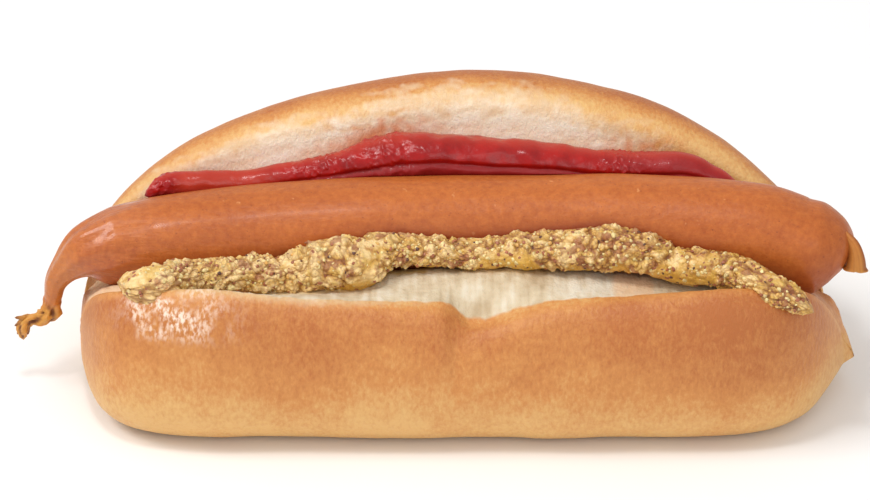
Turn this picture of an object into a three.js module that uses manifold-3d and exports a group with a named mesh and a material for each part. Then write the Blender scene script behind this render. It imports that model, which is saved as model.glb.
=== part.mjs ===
// Hot dog: a soft long bun cut open along its front, a sausage in a natural casing,
// a bead of wholegrain mustard before the sausage and a bead of ketchup behind it.
// Millimetres. +X runs along the bun, -Y is the open front, +Z is up.

import * as THREE from 'three';
import { LoftGeometry } from 'three/addons/geometries/LoftGeometry.js';
import { mergeVertices } from 'three/addons/utils/BufferGeometryUtils.js';
import Module from 'manifold-3d';

const wasm = await Module();
wasm.setup();

// Room left between pieces that touch.
const gap = 0.3;
// Facets smaller than this are merged after a cut.
const tidyStep = 0.03;

// The bun's middle section. Reaches are along Y, heights along Z.
const bunHalfLength = 77;
const bunStations = 34;
const bunAround = 48;
const frontReach = -31.5;
const frontHeel = -19;
const bellyHeight = 15;
const lipReach = -23.5;
const lipHeight = 31.5;
const shelfReach = -17;
const shelfHeight = 28.5;
const grooveReach = 2;
const grooveHeight = 24.5;
const lidFootReach = 11.5;
const lidFootHeight = 28;
const rimReach = 27.5;
const rimHeight = 54.2;
const rimHalfWidth = 8.5;
const rimDepth = 8.2;
const backReach = 38;
const backHeight = 34;
const backHeel = 18;
const backHeelHeight = 20;
const crustRoundness = 2.3;

// How the section closes at each end: a power for the run and one for the turn, and the share
// of its height that the lid loses over the last few millimetres.
const leftEnd = { y: -2, z: 10, plan: [11, 2], brow: [11, 3.2], lid: [1.56, 3], nub: 0, drop: 0 };
const rightEnd = { y: -2, z: 6, plan: [9.5, 1], brow: [12, 1.4], lid: [2.2, 2], nub: 1.2, drop: 0.5 };
const hingeHeight = 8;

// Near its ends the bun's section fills out to a plain oval about the hinge.
const oval = { y: 6, z: 12, reach: 33, above: 25, below: 12, start: 0.7 };

// The lip sags over a fold that runs down the front crust.
const foldCentre = -2;
const foldHalfWidth = 1.8;
const foldDepth = 1.2;
const foldFoot = 12;
const foldFade = 4;
const lipSag = 4;
const lipSagCentre = 1;
const lipSagLeft = 3.4;
const lipSagRight = 10;

// The lip rises towards both ends, and the bread under the sauce is highest near the middle.
const lipEndRise = 3;
const lipEndRun = 50;
const shelfCrest = { x: 6, halfWidth: 30, rise: 3 };

// Where along the bun the lid loses height, how far behind the front the brow's rule fades out,
// and how near its end the nub stands out.
const lidLossFrom = 0.9;
const lidLossTo = 0.96;
const browFade = 9;
const nubShare = 0.12;

// The sausage: [x, y, z, radius] from the twisted tail of casing to the blunt end.
const sausagePath = [
    [-88.6, -2, 10.6, 0.6],
    [-88.7, -2, 12.6, 1.1],
    [-87.4, -2, 14.8, 1.2],
    [-85, -2, 15.2, 1.4],
    [-82.9, -2, 16.6, 1.8],
    [-82.4, -2, 20, 1.8],
    [-81.6, -2, 23.9, 2.3],
    [-79.2, -2, 27.4, 3.3],
    [-75.6, -1.8, 30.2, 5.5],
    [-70, -1.2, 31.1, 7.9],
    [-62, -0.2, 31.2, 9.5],
    [-46, 1.4, 32, 10],
    [-20, 2, 33.8, 10],
    [10, 2, 34.4, 10],
    [38, 0.4, 35.3, 10],
    [58, -3, 35.4, 10],
    [67, -4.8, 34.1, 10],
    [70.5, -5.2, 34.1, 9.4],
    [73.4, -5.5, 33.8, 7.3],
    [75.6, -5.6, 33.3, 4.5],
    [76.9, -5.7, 33, 2.2],
    [77.5, -5.7, 32.9, 0],
];
const sausageRings = 50;
const sausageAround = 22;

// The flap of casing that hangs at the blunt end.
const knotPath = [
    [75, -8.2, 38.6, 0.7],
    [76.8, -8.8, 36.3, 1.2],
    [77.5, -9.2, 33.8, 1.6],
    [77.5, -9.3, 31.6, 2],
    [77.4, -9.3, 30.5, 1.7],
];
const knotRings = 8;
const knotAround = 12;

// The mustard: [x, y, z, radius], a bead pressed between the sausage and the lip.
const mustardPath = [
    [-67.2, -19.8, 33.6, 2.2],
    [-63, -21.8, 34.2, 4],
    [-53, -15.5, 32.6, 3.6],
    [-36, -12.8, 31.8, 4.2],
    [-25, -12, 33.1, 5.5],
    [-20.5, -11.8, 33.4, 5.2],
    [-15, -10, 35.2, 3.6],
    [-2, -10.5, 35.1, 3.2],
    [14, -10.6, 35.8, 3.9],
    [29, -11, 36.5, 4.5],
    [36.5, -12, 35.8, 4.1],
    [42, -13, 33.9, 3.7],
    [51, -15, 34, 3.8],
    [60, -21.8, 33.3, 3.6],
    [65.4, -23.7, 31.4, 2.6],
    [68, -24.3, 30, 0.9],
];
const mustardRings = 46;
const mustardAround = 13;
const lumpDepth = 0.09;
const seedCount = 56;
const seedRadius = 0.8;
const seedSpread = 0.35;

// The ketchup: [x, y, z, radius], a bead on the sausage's back shoulder.
const ketchupPath = [
    [-63.5, 7, 38.6, 0.8],
    [-60, 8.6, 39.6, 2.2],
    [-43, 11, 39.2, 2.6],
    [-28, 11.6, 41.2, 3.3],
    [-13, 12, 44.2, 4.7],
    [4, 12, 44, 4.4],
    [18, 11.6, 43, 4.1],
    [32, 11, 42, 3.5],
    [44, 9.6, 43, 3.4],
    [50, 8.4, 41.4, 2.4],
    [54.5, 6.6, 40.4, 0.8],
];
const ketchupRings = 36;
const ketchupAround = 13;

// Puts the origin under the middle of the whole, on the surface it rests on.
const originShift = [4.84, -3.25, 0];

let drawState = 20417;

function draw() {
    drawState = (drawState * 48271) % 2147483647;
    return drawState / 2147483647;
}

function bell(distance, halfWidth) {
    return Math.exp(-((distance / halfWidth) ** 2));
}

function turn(share, powers) {
    return Math.max(0, 1 - Math.abs(share) ** powers[0]) ** (1 / powers[1]);
}

// Points on part of a rounded corner, from one angle to the other in equal turns.
function corner(centreY, centreZ, reachY, reachZ, from, to, count) {
    const points = [];
    for (let i = 0; i < count; i += 1) {
        const angle = THREE.MathUtils.degToRad(from + ((to - from) * i) / (count - 1));
        const c = Math.cos(angle);
        const s = Math.sin(angle);
        const y = centreY + reachY * Math.sign(c) * Math.abs(c) ** (2 / crustRoundness);
        const z = centreZ + reachZ * Math.sign(s) * Math.abs(s) ** (2 / crustRoundness);
        points.push([y, z]);
    }
    return points;
}

function lipAt(x) {
    const side = x < lipSagCentre ? lipSagLeft : lipSagRight;
    const rise = lipEndRise * Math.min(1, (x / lipEndRun) ** 2);
    return lipHeight + rise - lipSag * bell(x - lipSagCentre, side);
}

function shelfAt(x) {
    return shelfHeight + shelfCrest.rise * bell(x - shelfCrest.x, shelfCrest.halfWidth);
}

// The section before it closes towards the ends, once round from the base.
function sectionControls(x) {
    const lip = lipAt(x);
    const shelf = shelfAt(x);
    const heel = corner(frontHeel, bellyHeight, frontHeel - frontReach, bellyHeight, 270, 180, 5);
    const brow = corner(lipReach, bellyHeight, lipReach - frontReach, lip - bellyHeight, 180, 90, 5);
    const crumb = [
        [shelfReach, shelf + 0.6],
        [shelfReach + 8, shelf],
        [grooveReach, grooveHeight],
        [lidFootReach, lidFootHeight],
        [lidFootReach + 4, lidFootHeight + 10],
    ];
    const rim = corner(rimReach, rimHeight - rimDepth, rimHalfWidth, rimDepth, 180, 0, 5);
    const back = [[backReach, backHeight]];
    const backReachHeel = backReach - 1 - backHeel;
    const rear = corner(backHeel, backHeelHeight, backReachHeel, backHeelHeight, 0, -90, 5);
    const base = [[0, 0]];
    return [...heel, ...brow.slice(1), ...crumb, ...rim, ...back, ...rear, ...base];
}

function towardsOval(point, plan) {
    const fill = THREE.MathUtils.smoothstep(1 - plan / oval.start, 0, 1);
    const angle = Math.atan2(point.z - oval.z, point.y - oval.y);
    const rise = angle > 0 ? oval.above : oval.below;
    const y = oval.y + oval.reach * Math.cos(angle);
    const z = oval.z + rise * Math.sin(angle);
    return point.lerp(new THREE.Vector3(0, y, z), fill);
}

function bunRing(x, params) {
    const share = x / bunHalfLength;
    const end = share < 0 ? leftEnd : rightEnd;
    const plan = turn(share, end.plan);
    const brow = turn(share, end.brow);
    const loss = end.drop * THREE.MathUtils.smoothstep(Math.abs(share), lidLossFrom, lidLossTo);
    const lid = turn(share, end.lid) * (1 - loss);
    const controls = sectionControls(x).map(([y, z]) => new THREE.Vector3(0, y, z));
    const curve = new THREE.CatmullRomCurve3(controls, true, 'catmullrom', 0.5);
    const nub = end.nub * Math.max(0, 1 - plan / nubShare);
    return params.map((t) => {
        const point = towardsOval(curve.getPoint(t), plan);
        const above = Math.max(0, point.z - hingeHeight);
        const lidSpan = rimHeight - rimDepth - hingeHeight;
        const lidShare = point.y > grooveReach + 6 ? Math.min(1, above / lidSpan) : 0;
        const behind = Math.min(1, Math.max(0, (point.y - grooveReach) / browFade));
        const frontShare = point.z > end.z ? 1 - behind : 0;
        const across = plan * (1 - lidShare) + lid * lidShare;
        const upward = across * (1 - frontShare) + brow * frontShare;
        const foldHigh = Math.min(1, Math.max(0, (point.z - foldFoot) / (lipHeight - foldFoot)));
        const onFront = THREE.MathUtils.smoothstep(lipReach + foldFade - point.y, 0, foldFade);
        const fold = foldDepth * foldHigh * onFront * bell(x - foldCentre, foldHalfWidth);
        const y = end.y + (point.y - end.y) * across + fold;
        const z = Math.max(0, end.z + (point.z - end.z) * upward);
        return new THREE.Vector3(x + Math.sign(share) * nub, y, z);
    });
}

// Rings crowd towards both ends and around the fold, from the right end to the left.
function stationPlaces() {
    const places = [-3, -1.6, -0.6, 0.6, 1.6, 3].map((step) => foldCentre + step * foldHalfWidth);
    for (let i = 0; i <= bunStations; i += 1) {
        const x = bunHalfLength * Math.cos((Math.PI * i) / bunStations);
        if (Math.abs(x - foldCentre) > 4 * foldHalfWidth) {
            places.push(x);
        }
    }
    return places.sort((a, b) => b - a);
}

function bunGeometry() {
    const controls = sectionControls(0).map(([y, z]) => new THREE.Vector3(0, y, z));
    const middle = new THREE.CatmullRomCurve3(controls, true, 'catmullrom', 0.5);
    const params = [];
    for (let j = 0; j < bunAround; j += 1) {
        params.push(middle.getUtoTmapping(j / bunAround));
    }
    const rings = [];
    for (const x of stationPlaces()) {
        rings.push(bunRing(x, params));
    }
    return new LoftGeometry(rings);
}

// A bead swept along a path of [x, y, z, radius], closed to a point at both ends.
// The shape function scales the radius by the place along and around the bead.
function beadRing(centres, radii, t, extra, around, shape) {
    const centre = centres.getPoint(t);
    const tangent = centres.getTangent(t);
    const side = new THREE.Vector3(0, 1, 0).addScaledVector(tangent, -tangent.y).normalize();
    const up = new THREE.Vector3().crossVectors(tangent, side);
    const radius = Math.max(0, radii.getPoint(t).x);
    const ring = [];
    for (let j = 0; j < around; j += 1) {
        const angle = (2 * Math.PI * j) / around;
        const reach = radius * shape(t, angle) + extra;
        const point = centre.clone();
        point.addScaledVector(side, reach * Math.cos(angle));
        point.addScaledVector(up, reach * Math.sin(angle));
        ring.push(point);
    }
    return ring;
}

function beadCurves(path) {
    const centres = new THREE.CatmullRomCurve3(path.map((p) => new THREE.Vector3(p[0], p[1], p[2])));
    const sizes = path.map((p) => new THREE.Vector3(p[3], 0, 0));
    const radii = new THREE.CatmullRomCurve3(sizes, false, 'catmullrom', 0.5);
    return [centres, radii];
}

function beadGeometry(path, rings, around, extra, shape) {
    const [centres, radii] = beadCurves(path);
    const first = centres.getPoint(0).addScaledVector(centres.getTangent(0), -path[0][3] - extra);
    const last = centres.getPoint(1).addScaledVector(centres.getTangent(1), path.at(-1)[3] + extra);
    const sections = [new Array(around).fill(first)];
    for (let i = 0; i <= rings; i += 1) {
        const t = centres.getUtoTmapping(i / rings);
        sections.push(beadRing(centres, radii, t, extra, around, shape));
    }
    sections.push(new Array(around).fill(last));
    return new LoftGeometry(sections);
}

// Turns a closed geometry into a solid: one vertex a place, no triangle without area.
function solidFrom(geometry) {
    const plain = new THREE.BufferGeometry();
    plain.setAttribute('position', geometry.attributes.position);
    plain.setIndex(geometry.index);
    const merged = mergeVertices(plain, 1e-4);
    const index = merged.index.array;
    const triangles = [];
    for (let i = 0; i < index.length; i += 3) {
        const [a, b, c] = [index[i], index[i + 1], index[i + 2]];
        if (a !== b && b !== c && c !== a) {
            triangles.push(a, b, c);
        }
    }
    const mesh = new wasm.Mesh({
        numProp: 3,
        vertProperties: new Float32Array(merged.attributes.position.array),
        triVerts: new Uint32Array(triangles),
    });
    return new wasm.Manifold(mesh);
}

// Drops scraps that a cut leaves beside the main body.
function largest(solid) {
    const pieces = solid.decompose();
    pieces.sort((a, b) => b.volume() - a.volume());
    return pieces[0].simplify(tidyStep);
}

function meshFrom(solid, name, colour, roughness) {
    const data = solid.translate(originShift).getMesh();
    const geometry = new THREE.BufferGeometry();
    geometry.setAttribute('position', new THREE.BufferAttribute(data.vertProperties, 3));
    geometry.setIndex(new THREE.BufferAttribute(data.triVerts, 1));
    const material = new THREE.MeshStandardMaterial({ color: colour, roughness, metalness: 0 });
    const mesh = new THREE.Mesh(geometry, material);
    mesh.name = name;
    return mesh;
}

const even = () => 1;

function lumpy(t, angle) {
    const long = Math.sin(61 * t + 2 * Math.sin(angle)) + Math.sin(113 * t - 3 * angle);
    return 1 + lumpDepth * 0.5 * (long + Math.sin(2 * angle + 29 * t));
}

function wavy(t, angle) {
    return 1 + 0.04 * Math.sin(33 * t + angle) + 0.03 * Math.sin(71 * t - 2 * angle);
}

function sausageSolid(extra) {
    const body = solidFrom(beadGeometry(sausagePath, sausageRings, sausageAround, extra, even));
    const knot = solidFrom(beadGeometry(knotPath, knotRings, knotAround, extra, even));
    return body.add(knot);
}

function mustardSolid(extra) {
    return solidFrom(beadGeometry(mustardPath, mustardRings, mustardAround, extra, lumpy));
}

function ketchupSolid(extra) {
    return solidFrom(beadGeometry(ketchupPath, ketchupRings, ketchupAround, extra, wavy));
}

// Seeds sit half sunk on the open side of the mustard, clear of bun and sausage.
function withSeeds(core, neighbours) {
    const [centres, radii] = beadCurves(mustardPath);
    let whole = core;
    for (let i = 0; i < seedCount; i += 1) {
        const t = centres.getUtoTmapping(0.03 + (0.94 * (i + draw())) / seedCount);
        const angle = Math.PI * (0.5 + 0.42 * draw());
        const size = seedRadius + seedSpread * draw();
        const tangent = centres.getTangent(t);
        const side = new THREE.Vector3(0, 1, 0).addScaledVector(tangent, -tangent.y).normalize();
        const up = new THREE.Vector3().crossVectors(tangent, side);
        const reach = radii.getPoint(t).x * lumpy(t, angle) - 0.2 * size;
        const place = centres.getPoint(t);
        place.addScaledVector(side, reach * Math.cos(angle));
        place.addScaledVector(up, reach * Math.sin(angle));
        const ball = new THREE.IcosahedronGeometry(size, 0);
        ball.rotateX(6 * draw());
        ball.rotateZ(6 * draw());
        const seed = solidFrom(ball);
        const room = seed.scale(1 + gap / size).translate(place.toArray());
        const clear = neighbours.every((solid) => room.intersect(solid).volume() === 0);
        if (clear) {
            whole = whole.add(seed.translate(place.toArray()));
        }
    }
    return whole;
}

const sausage = sausageSolid(0);
const sausageRoom = sausageSolid(gap);
const mustardCore = largest(mustardSolid(0).subtract(sausageRoom));
const ketchup = largest(ketchupSolid(0).subtract(sausageRoom));
const bunWhole = solidFrom(bunGeometry());
const bunCut = bunWhole.subtract(sausageRoom).subtract(mustardSolid(gap)).subtract(ketchupSolid(gap));
const bun = largest(bunCut);
const mustard = withSeeds(mustardCore, [bun, sausage]);

const hotDog = new THREE.Group();
hotDog.name = 'hot_dog';
hotDog.add(meshFrom(bun, 'bun', 0xc98a52, 0.6));
hotDog.add(meshFrom(sausage, 'sausage', 0xb9653a, 0.35));
hotDog.add(meshFrom(mustard, 'mustard', 0xcf9a45, 0.45));
hotDog.add(meshFrom(ketchup, 'ketchup', 0xa12420, 0.25));

export default hotDog;
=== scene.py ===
import math
import random

import bmesh
import bpy
from mathutils import Matrix, Vector, noise


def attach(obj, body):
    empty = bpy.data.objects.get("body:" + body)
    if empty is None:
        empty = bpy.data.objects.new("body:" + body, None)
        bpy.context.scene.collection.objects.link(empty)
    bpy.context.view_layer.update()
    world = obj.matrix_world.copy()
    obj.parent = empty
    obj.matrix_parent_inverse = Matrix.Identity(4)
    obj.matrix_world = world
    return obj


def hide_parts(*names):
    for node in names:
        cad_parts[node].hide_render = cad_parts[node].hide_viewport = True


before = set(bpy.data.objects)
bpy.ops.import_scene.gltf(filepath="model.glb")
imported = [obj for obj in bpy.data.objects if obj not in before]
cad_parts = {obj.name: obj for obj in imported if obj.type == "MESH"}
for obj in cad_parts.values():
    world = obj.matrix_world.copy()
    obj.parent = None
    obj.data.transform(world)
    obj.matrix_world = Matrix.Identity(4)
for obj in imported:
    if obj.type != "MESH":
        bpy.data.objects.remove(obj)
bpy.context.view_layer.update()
print("frame loaded")

mm = 0.001
shift = Vector((4.84, -3.25, 0.0))  # puts the drawing's middle on the frame's origin, in mm
noise.seed_set(7)  # noise vectors follow the clock unless they are seeded


def toFrame(x, y, z):
    return Vector(((x + shift.x) * mm, (y + shift.y) * mm, (z + shift.z) * mm))


def bell(distance, halfWidth):
    return math.exp(-((distance / halfWidth) ** 2))


def smooth(value, low, high):
    share = min(1.0, max(0.0, (value - low) / (high - low)))
    return share * share * (3 - 2 * share)


def within(value, start, full, fading, gone):
    # rises from start to full, and falls from fading to gone
    return smooth(value, start, full) * (1 - smooth(value, fading, gone))


def lerp(a, b, share):
    return a + (b - a) * share


def noiseAt(x, y, z, size):
    return noise.noise(Vector((x, y, z)) / size)


def tint(red, green, blue):
    # screen colour, 0 to 255, to the linear colour that a shader takes
    def channel(value):
        value /= 255
        return value / 12.92 if value <= 0.04045 else ((value + 0.055) / 1.055) ** 2.4
    return (channel(red), channel(green), channel(blue), 1.0)


def gridMesh(across, along, place, layers):
    # a grid of across by along faces, moved by place(i, j), which gives a point and layer values
    bm = bmesh.new()
    bmesh.ops.create_grid(bm, x_segments=along, y_segments=across, size=1)
    made = [bm.verts.layers.float.new(name) for name in layers]
    for vert in bm.verts:
        i = round((vert.co.x + 1) / 2 * along)
        j = round((vert.co.y + 1) / 2 * across)
        point, values = place(i, j)
        vert.co = point
        for layer, value in zip(made, values):
            vert[layer] = value
    bmesh.ops.remove_doubles(bm, verts=bm.verts, dist=2e-6)
    bmesh.ops.recalc_face_normals(bm, faces=bm.faces)
    bm.normal_update()
    return bm


def finishPiece(bm, name, material):
    for face in bm.faces:
        face.smooth = True
    data = bpy.data.meshes.new(name)
    bm.to_mesh(data)
    bm.free()
    piece = bpy.data.objects.new(name, data)
    bpy.context.scene.collection.objects.link(piece)
    data.materials.append(material)
    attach(piece, "root")
    print(name, len(data.polygons), "faces")
    return piece


# the same shapes as the solids have, in mm
bunForm = {
    "halfLength": 77.0,
    "frontReach": -31.5, "frontHeel": -19.0, "belly": 15.0,
    "lipReach": -23.5, "lipHeight": 31.5,
    "shelfReach": -17.0, "shelfHeight": 28.5,
    "grooveReach": 2.0, "grooveHeight": 24.5,
    "lidFootReach": 11.5, "lidFootHeight": 28.0,
    "rimReach": 27.5, "rimHeight": 54.2, "rimHalfWidth": 8.5, "rimDepth": 8.2,
    "backReach": 38.0, "backHeight": 34.0, "backHeel": 18.0, "backHeelHeight": 20.0,
    "roundness": 2.3, "hinge": 8.0, "browFade": 9.0,
}
# each end: the point it closes on, how its outlines turn, its nub, and how much of the lid is lost
leftEnd = {
    "y": -2.0, "z": 10.0, "plan": (11, 2), "brow": (11, 3.2), "lid": (1.56, 3), "nub": 0.0, "drop": 0.0,
}
rightEnd = {
    "y": -2.0, "z": 6.0, "plan": (9.5, 1), "brow": (12, 1.4), "lid": (2.2, 2), "nub": 1.2, "drop": 0.5,
}
lidLoss = (0.9, 0.96)  # shares of the half length between which the lid is lost
nubShare = 0.12  # the nub grows where the end is narrower than this
oval = {"y": 6.0, "z": 12.0, "reach": 33.0, "above": 25.0, "below": 12.0, "start": 0.7}
fold = {"centre": -2.0, "halfWidth": 1.8, "depth": 1.2, "foot": 12.0, "fade": 4.0}
lipSag = {"depth": 4.0, "centre": 1.0, "left": 3.4, "right": 10.0, "endRise": 3.0, "endRun": 50.0}
shelfCrest = {"x": 6.0, "halfWidth": 30.0, "rise": 3.0}

sausagePath = [
    (-88.6, -2, 10.6, 0.6), (-88.7, -2, 12.6, 1.1), (-87.4, -2, 14.8, 1.2), (-85, -2, 15.2, 1.4),
    (-82.9, -2, 16.6, 1.8), (-82.4, -2, 20, 1.8), (-81.6, -2, 23.9, 2.3), (-79.2, -2, 27.4, 3.3),
    (-75.6, -1.8, 30.2, 5.5), (-70, -1.2, 31.1, 7.9), (-62, -0.2, 31.2, 9.5), (-46, 1.4, 32, 10),
    (-20, 2, 33.8, 10), (10, 2, 34.4, 10), (38, 0.4, 35.3, 10), (58, -3, 35.4, 10),
    (67, -4.8, 34.1, 10), (70.5, -5.2, 34.1, 9.4), (73.4, -5.5, 33.8, 7.3), (75.6, -5.6, 33.3, 4.5),
    (76.9, -5.7, 33, 2.2), (77.5, -5.7, 32.9, 0),
]
knotPath = [
    (75, -8.2, 38.6, 0.7), (76.8, -8.8, 36.3, 1.2), (77.5, -9.2, 33.8, 1.6), (77.5, -9.3, 31.6, 2),
    (77.4, -9.3, 30.5, 1.7),
]
mustardPath = [
    (-67.2, -19.8, 33.6, 2.2), (-63, -21.8, 34.2, 4), (-53, -15.5, 32.6, 3.6), (-36, -12.8, 31.8, 4.2),
    (-25, -12, 33.1, 5.5), (-20.5, -11.8, 33.4, 5.2), (-15, -10, 35.2, 3.6), (-2, -10.5, 35.1, 3.2),
    (14, -10.6, 35.8, 3.9), (29, -11, 36.5, 4.5), (36.5, -12, 35.8, 4.1), (42, -13, 33.9, 3.7),
    (51, -15, 34, 3.8), (60, -21.8, 33.3, 3.6), (65.4, -23.7, 31.4, 2.6), (68, -24.3, 30, 0.9),
]
ketchupPath = [
    (-63.5, 7, 38.6, 0.8), (-60, 8.6, 39.6, 2.2), (-43, 11, 39.2, 2.6), (-28, 11.6, 41.2, 3.3),
    (-13, 12, 44.2, 4.7), (4, 12, 44, 4.4), (18, 11.6, 43, 4.1), (32, 11, 42, 3.5),
    (44, 9.6, 43, 3.4), (50, 8.4, 41.4, 2.4), (54.5, 6.6, 40.4, 0.8),
]


def turnOf(share, powers):
    return max(0.0, 1 - abs(share) ** powers[0]) ** (1 / powers[1])


def corner(centreY, centreZ, reachY, reachZ, start, stop, count):
    points = []
    for i in range(count):
        angle = math.radians(start + (stop - start) * i / (count - 1))
        c, s = math.cos(angle), math.sin(angle)
        power = 2 / bunForm["roundness"]
        y = centreY + reachY * math.copysign(abs(c) ** power, c)
        z = centreZ + reachZ * math.copysign(abs(s) ** power, s)
        points.append((y, z))
    return points


def lipAt(x):
    side = lipSag["left"] if x < lipSag["centre"] else lipSag["right"]
    rise = lipSag["endRise"] * min(1, (x / lipSag["endRun"]) ** 2)
    return bunForm["lipHeight"] + rise - lipSag["depth"] * bell(x - lipSag["centre"], side)


def shelfAt(x):
    return bunForm["shelfHeight"] + shelfCrest["rise"] * bell(x - shelfCrest["x"], shelfCrest["halfWidth"])


def sectionControls(x):
    f = bunForm
    lip, shelf = lipAt(x), shelfAt(x)
    heel = corner(f["frontHeel"], f["belly"], f["frontHeel"] - f["frontReach"], f["belly"], 270, 180, 5)
    brow = corner(f["lipReach"], f["belly"], f["lipReach"] - f["frontReach"], lip - f["belly"], 180, 90, 5)
    crumb = [
        (f["shelfReach"], shelf + 0.6), (f["shelfReach"] + 8, shelf),
        (f["grooveReach"], f["grooveHeight"]), (f["lidFootReach"], f["lidFootHeight"]),
        (f["lidFootReach"] + 4, f["lidFootHeight"] + 10),
    ]
    rim = corner(f["rimReach"], f["rimHeight"] - f["rimDepth"], f["rimHalfWidth"], f["rimDepth"], 180, 0, 5)
    rearReach = f["backReach"] - 1 - f["backHeel"]
    rear = corner(f["backHeel"], f["backHeelHeight"], rearReach, f["backHeelHeight"], 0, -90, 5)
    return heel + brow[1:] + crumb + rim + [(f["backReach"], f["backHeight"])] + rear + [(0.0, 0.0)]


def curveValue(a, b, c, d, f):
    # one stretch of a Catmull-Rom curve, from b to c
    first, last = (c - a) / 2, (d - b) / 2
    return b + first * f + (3 * (c - b) - 2 * first - last) * f * f + (2 * (b - c) + first + last) * f ** 3


def sectionPoint(controls, place):
    count = len(controls)
    i = int(math.floor(place))
    near = [controls[(i + k) % count] for k in (-1, 0, 1, 2)]
    f = place - i
    return curveValue(*[p[0] for p in near], f), curveValue(*[p[1] for p in near], f)


class BunStation:
    # what one ring of the bun needs, worked out once
    def __init__(self, x):
        share = x / bunForm["halfLength"]
        self.x, self.share = x, share
        self.end = leftEnd if share < 0 else rightEnd
        self.plan = turnOf(share, self.end["plan"])
        self.brow = turnOf(share, self.end["brow"])
        self.lid = turnOf(share, self.end["lid"]) * (1 - self.end["drop"] * smooth(abs(share), *lidLoss))
        self.controls = sectionControls(x)
        self.nub = self.end["nub"] * max(0, 1 - self.plan / nubShare)

    def point(self, place):
        y, z = sectionPoint(self.controls, place)
        fill = smooth(1 - self.plan / oval["start"], 0, 1)
        if fill > 0:
            angle = math.atan2(z - oval["z"], y - oval["y"])
            rise = oval["above"] if angle > 0 else oval["below"]
            y = lerp(y, oval["y"] + oval["reach"] * math.cos(angle), fill)
            z = lerp(z, oval["z"] + rise * math.sin(angle), fill)
        end = self.end
        span = bunForm["rimHeight"] - bunForm["rimDepth"] - bunForm["hinge"]
        lidShare = 0.0
        if y > bunForm["grooveReach"] + 6:
            lidShare = min(1, max(0, z - bunForm["hinge"]) / span)
        behind = min(1, max(0, (y - bunForm["grooveReach"]) / bunForm["browFade"]))
        frontShare = 1 - behind if z > end["z"] else 0.0
        across = self.plan * (1 - lidShare) + self.lid * lidShare
        upward = across * (1 - frontShare) + self.brow * frontShare
        high = min(1, max(0, (z - fold["foot"]) / (bunForm["lipHeight"] - fold["foot"])))
        onFront = smooth(bunForm["lipReach"] + fold["fade"] - y, 0, fold["fade"])
        dent = fold["depth"] * high * onFront * bell(self.x - fold["centre"], fold["halfWidth"])
        newY = end["y"] + (y - end["y"]) * across + dent
        newZ = max(0.0, end["z"] + (z - end["z"]) * upward)
        return Vector((self.x + math.copysign(self.nub, self.share), newY, newZ))


class Bead:
    # a swept bead: centre, direction and radius anywhere along a path of (x, y, z, radius)
    def __init__(self, path, steps=800):
        self.path = path
        self.centres = [Vector(p[:3]) for p in path]
        points = [self.centreAt(k / steps) for k in range(steps + 1)]
        self.lengths = [0.0]
        for a, b in zip(points, points[1:]):
            self.lengths.append(self.lengths[-1] + (b - a).length)
        self.steps = steps
        self.total = self.lengths[-1]

    def neighbours(self, share):
        spans = len(self.path) - 1
        i = min(spans - 1, max(0, int(share * spans)))
        return i, share * spans - i

    def centreAt(self, share):
        i, f = self.neighbours(share)
        c = self.centres
        start = c[i - 1] if i > 0 else c[0] * 2 - c[1]
        stop = c[i + 2] if i + 2 < len(c) else c[-1] * 2 - c[-2]
        near = [start, c[i], c[i + 1], stop]
        gaps = [max(1e-4, (b - a).length) ** 0.5 for a, b in zip(near, near[1:])]

        def slope(k):
            # the curve's direction at near[k]
            a, b, c = near[k - 1:k + 2]
            before, after = gaps[k - 1:k + 1]
            return ((b - a) / before - (c - a) / (before + after) + (c - b) / after) * gaps[1]

        first, last = slope(1), slope(2)
        step = near[2] - near[1]
        bend = 3 * step - 2 * first - last
        return near[1] + first * f + bend * f * f + (first + last - 2 * step) * f ** 3

    def radiusAt(self, share):
        i, f = self.neighbours(share)
        r = [p[3] for p in self.path]
        before = r[i - 1] if i > 0 else 2 * r[0] - r[1]
        after = r[i + 2] if i + 2 < len(r) else 2 * r[-1] - r[-2]
        return max(0.0, curveValue(before, r[i], r[i + 1], after, f))

    def shareAt(self, part):
        # the share of the path's spans that lies at this part of its length
        wanted = part * self.total
        low, high = 0, self.steps
        while high - low > 1:
            middle = (low + high) // 2
            if self.lengths[middle] <= wanted:
                low = middle
            else:
                high = middle
        span = self.lengths[high] - self.lengths[low]
        return (low + (wanted - self.lengths[low]) / max(span, 1e-9)) / self.steps

    def frameAt(self, share):
        ahead = self.centreAt(min(1, share + 1e-3)) - self.centreAt(max(0, share - 1e-3))
        ahead.normalize()
        side = (Vector((0, 1, 0)) - ahead * ahead.y).normalized()
        return ahead, side, ahead.cross(side)


sausageBead = Bead(sausagePath)
mustardBead = Bead(mustardPath)
ketchupBead = Bead(ketchupPath)


def tableOf(bead):
    # the bead's centre and radius for each whole millimetre of x, to rest things against it
    table = {}
    for k in range(4001):
        share = k / 4000
        centre = bead.centreAt(share)
        if centre.x > -78:
            table[round(centre.x)] = (centre.y, centre.z, bead.radiusAt(share))
    return table


sausageTable = tableOf(sausageBead)
mustardTable = tableOf(mustardBead)
ketchupTable = tableOf(ketchupBead)


def gapTo(table, point):
    found = table.get(round(point.x))
    if found is None:
        return 50.0
    y, z, radius = found
    return math.hypot(point.y - y, point.z - z) - radius


def offSausage(point, room):
    # moves a point that would lie inside the sausage out to its surface
    found = sausageTable.get(round(point.x))
    if found is None:
        return point
    y, z, radius = found
    away = Vector((0, point.y - y, point.z - z))
    if away.length >= radius + room:
        return point
    away = away.normalized() * (radius + room) if away.length > 1e-6 else Vector((0, 0, -radius - room))
    return Vector((point.x, y + away.y, z + away.z))


def addNode(tree, kind, values=None, **settings):
    made = tree.nodes.new(kind)
    for key, value in settings.items():
        setattr(made, key, value)
    for key, value in (values or {}).items():
        made.inputs[key].default_value = value
    return made


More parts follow.
